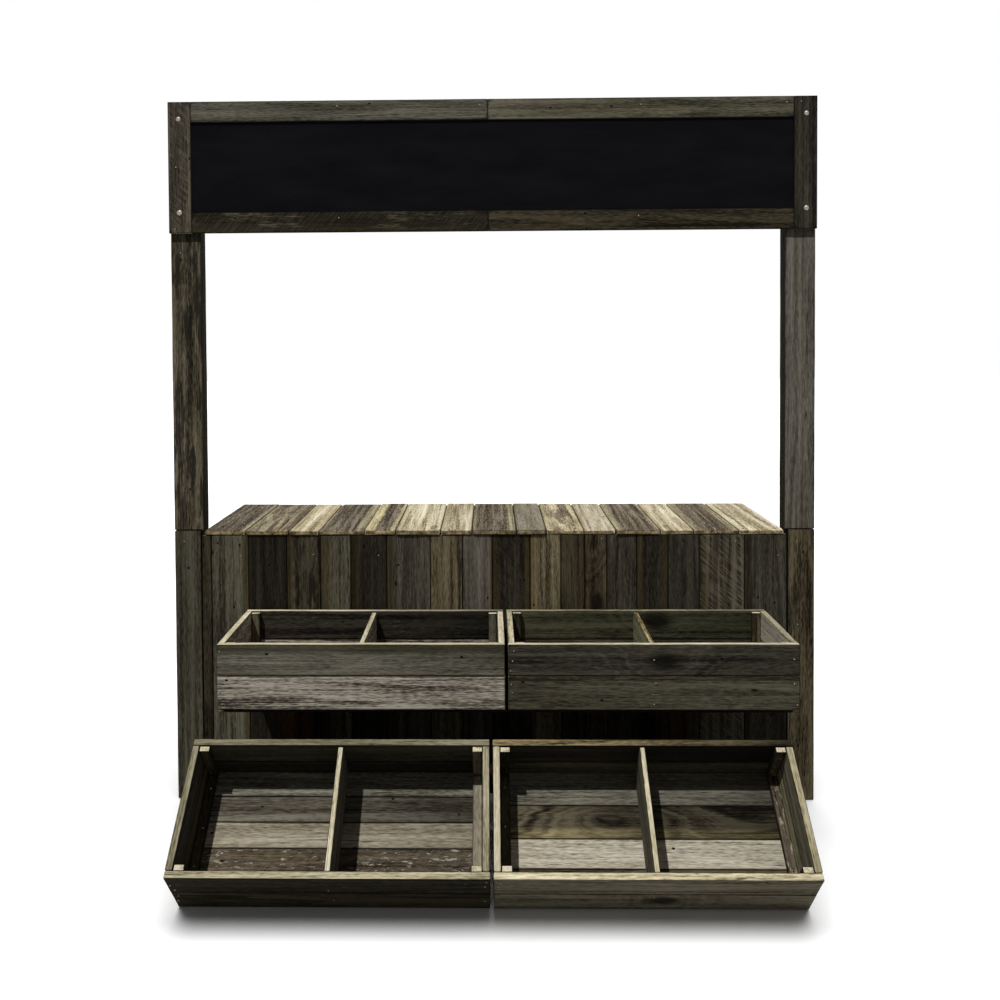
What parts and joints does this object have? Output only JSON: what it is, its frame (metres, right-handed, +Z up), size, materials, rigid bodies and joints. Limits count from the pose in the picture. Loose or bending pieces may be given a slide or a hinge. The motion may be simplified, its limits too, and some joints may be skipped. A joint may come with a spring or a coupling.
{
  "type": "wooden market stall",
  "caption": "Market stall of weathered palings: boarded counter between posts, chalkboard header above, and a low bench in front with level and tipped produce crates.",
  "frame": {"origin": "on the ground, at the middle of the outline in plan", "axes": "+X to the right of a customer facing the stall, +Y from the customer to the seller, +Z up"},
  "size_m": [1.806, 1.116, 1.975],
  "materials": {
    "weathered_paling": "grey weathered hardwood paling, rough sawn",
    "counter_paling": "weathered paling, worn and sanded in places",
    "crate_board": "grey weathered paling with cream sawn edges",
    "crate_batten": "weathered batten with fresh cut ends",
    "frame_timber": "sawn hardwood, lightly weathered",
    "bench_timber": "reddish brown sawn hardwood",
    "chalkboard": "matt black paint on plywood",
    "bolt_steel": "zinc plated steel bolts and nails"
  },
  "bodies": {
    "root": {"left_post": "frame_timber", "right_post": "frame_timber", "counter_front_legs": "frame_timber", "counter_back_legs": "frame_timber", "counter_front_rails": "frame_timber", "counter_back_rail": "frame_timber", "counter_side_rails": "frame_timber", "left_post_facing": "weathered_paling", "right_post_facing": "weathered_paling", "header_left_stile": "weathered_paling", "header_right_stile": "weathered_paling", "header_top_rail": "weathered_paling", "header_bottom_rail": "weathered_paling", "counter_front_cladding": "weathered_paling", "counter_left_cladding": "weathered_paling", "counter_right_cladding": "weathered_paling", "bench_shelf": "weathered_paling", "bench_cleats": "weathered_paling", "counter_top": "counter_paling", "chalkboard": "chalkboard", "bench_front_legs": "bench_timber", "bench_back_legs": "bench_timber", "bench_bearers": "bench_timber", "bench_front_rail": "bench_timber", "bench_back_rail": "bench_timber", "upper_left_crate_sides": "crate_board", "upper_left_crate_ends": "crate_board", "upper_left_crate_floor": "crate_board", "upper_left_crate_divider": "crate_board", "upper_left_crate_battens": "crate_batten", "upper_right_crate_sides": "crate_board", "upper_right_crate_ends": "crate_board", "upper_right_crate_floor": "crate_board", "upper_right_crate_divider": "crate_board", "upper_right_crate_battens": "crate_batten", "lower_left_crate_sides": "crate_board", "lower_left_crate_ends": "crate_board", "lower_left_crate_floor": "crate_board", "lower_left_crate_divider": "crate_board", "lower_left_crate_battens": "crate_batten", "lower_right_crate_sides": "crate_board", "lower_right_crate_ends": "crate_board", "lower_right_crate_floor": "crate_board", "lower_right_crate_divider": "crate_board", "lower_right_crate_battens": "crate_batten"}
  },
  "joints": []
}
